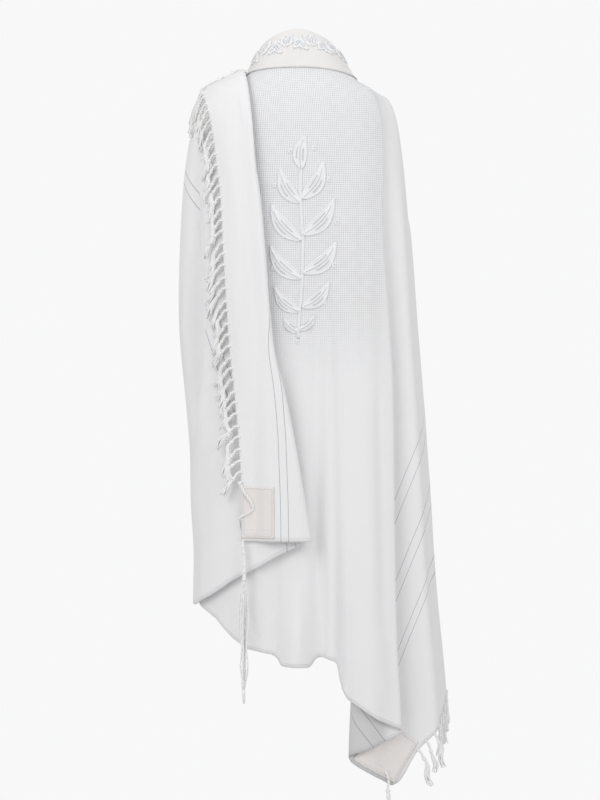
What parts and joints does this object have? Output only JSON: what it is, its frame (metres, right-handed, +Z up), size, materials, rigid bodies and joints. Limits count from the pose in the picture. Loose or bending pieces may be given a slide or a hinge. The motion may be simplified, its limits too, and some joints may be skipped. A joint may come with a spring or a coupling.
{
  "type": "tallit prayer shawl",
  "caption": "Large rectangular wool prayer shawl draped round the shoulders, one end thrown back over the left shoulder, with neckband, corner patches and fringes.",
  "frame": {"origin": "middle of the neck opening at the height of the nape, where the wearer's neck and shoulders hold the shawl up", "axes": "+Z up along the wearer's back, +Y towards the wearer's front, +X towards the wearer's right side"},
  "size_m": [0.5224, 0.3408, 1.7205],
  "materials": {
    "wool": "white wool twill with an open checked weave across the back and grey stripes near the ends",
    "satin": "warm white satin with shiny stitching",
    "yarn": "twisted white wool yarn"
  },
  "bodies": {
    "root": {"back_panel": "wool", "left_wing": "wool", "thrown_flap": "wool", "neckband": "satin", "patch_flap": "satin", "patch_flap_front": "satin", "patch_right_wing": "satin", "patch_right_front": "satin", "fringe_back": "yarn", "fringe_front": "yarn", "fringe_right": "yarn", "tassel_flap": "yarn", "tassel_flap_front": "yarn", "tassel_right_wing": "yarn", "tassel_right_front": "yarn"}
  },
  "joints": []
}
